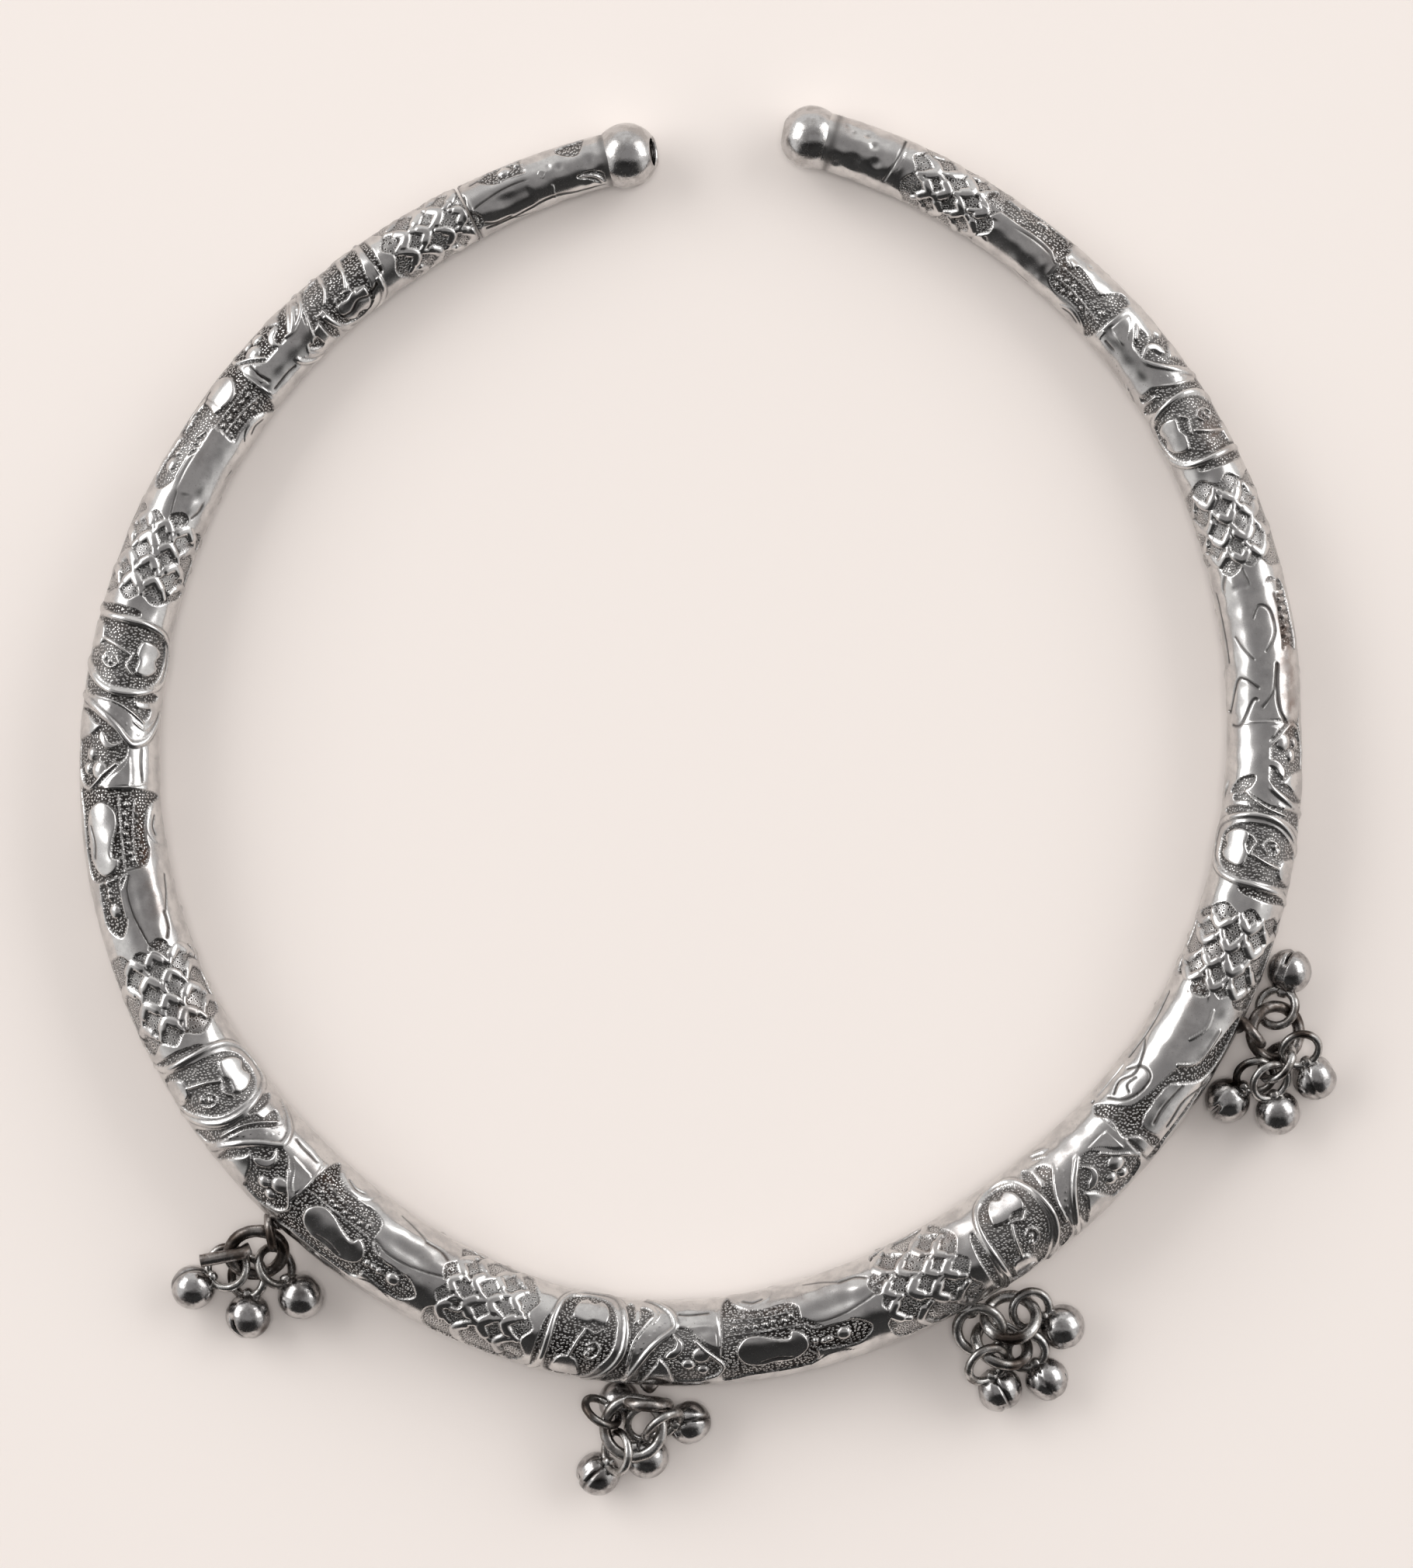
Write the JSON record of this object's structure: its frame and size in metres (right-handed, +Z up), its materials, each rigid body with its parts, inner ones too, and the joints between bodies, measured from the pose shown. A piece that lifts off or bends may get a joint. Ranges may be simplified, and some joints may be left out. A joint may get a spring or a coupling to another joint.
{
  "type": "hasli collar",
  "caption": "Rigid open neck collar of hollow silver tube with embossed ornament, ball ends and hanging bell clusters.",
  "frame": {"origin": "middle of the neck opening, on the surface that the collar lies on", "axes": "+Z up through the neck opening, +Y to the gap between the ball ends, +X to the wearer's side with the plain ball"},
  "size_m": [0.1543, 0.1704, 0.0122],
  "materials": {
    "embossed_silver": "worn silver, dark oxide in the recesses",
    "silver_wire": "drawn silver wire, brown tarnish",
    "bell_silver": "polished silver, slightly dented"
  },
  "bodies": {
    "root": {"collar_tube": "embossed_silver", "end_section": "embossed_silver", "ring_1": "silver_wire", "ring_2": "silver_wire", "ring_3a": "silver_wire", "ring_3b": "silver_wire", "ring_4a": "silver_wire", "ring_4b": "silver_wire", "bell_1a": "bell_silver", "bell_1b": "bell_silver", "bell_1c": "bell_silver", "bell_2a": "bell_silver", "bell_2b": "bell_silver", "bell_2c": "bell_silver", "bell_2d": "bell_silver", "bell_3a": "bell_silver", "bell_3b": "bell_silver", "bell_3c": "bell_silver", "bell_4a": "bell_silver", "bell_4b": "bell_silver", "bell_4c": "bell_silver", "bell_4d": "bell_silver"}
  },
  "joints": []
}
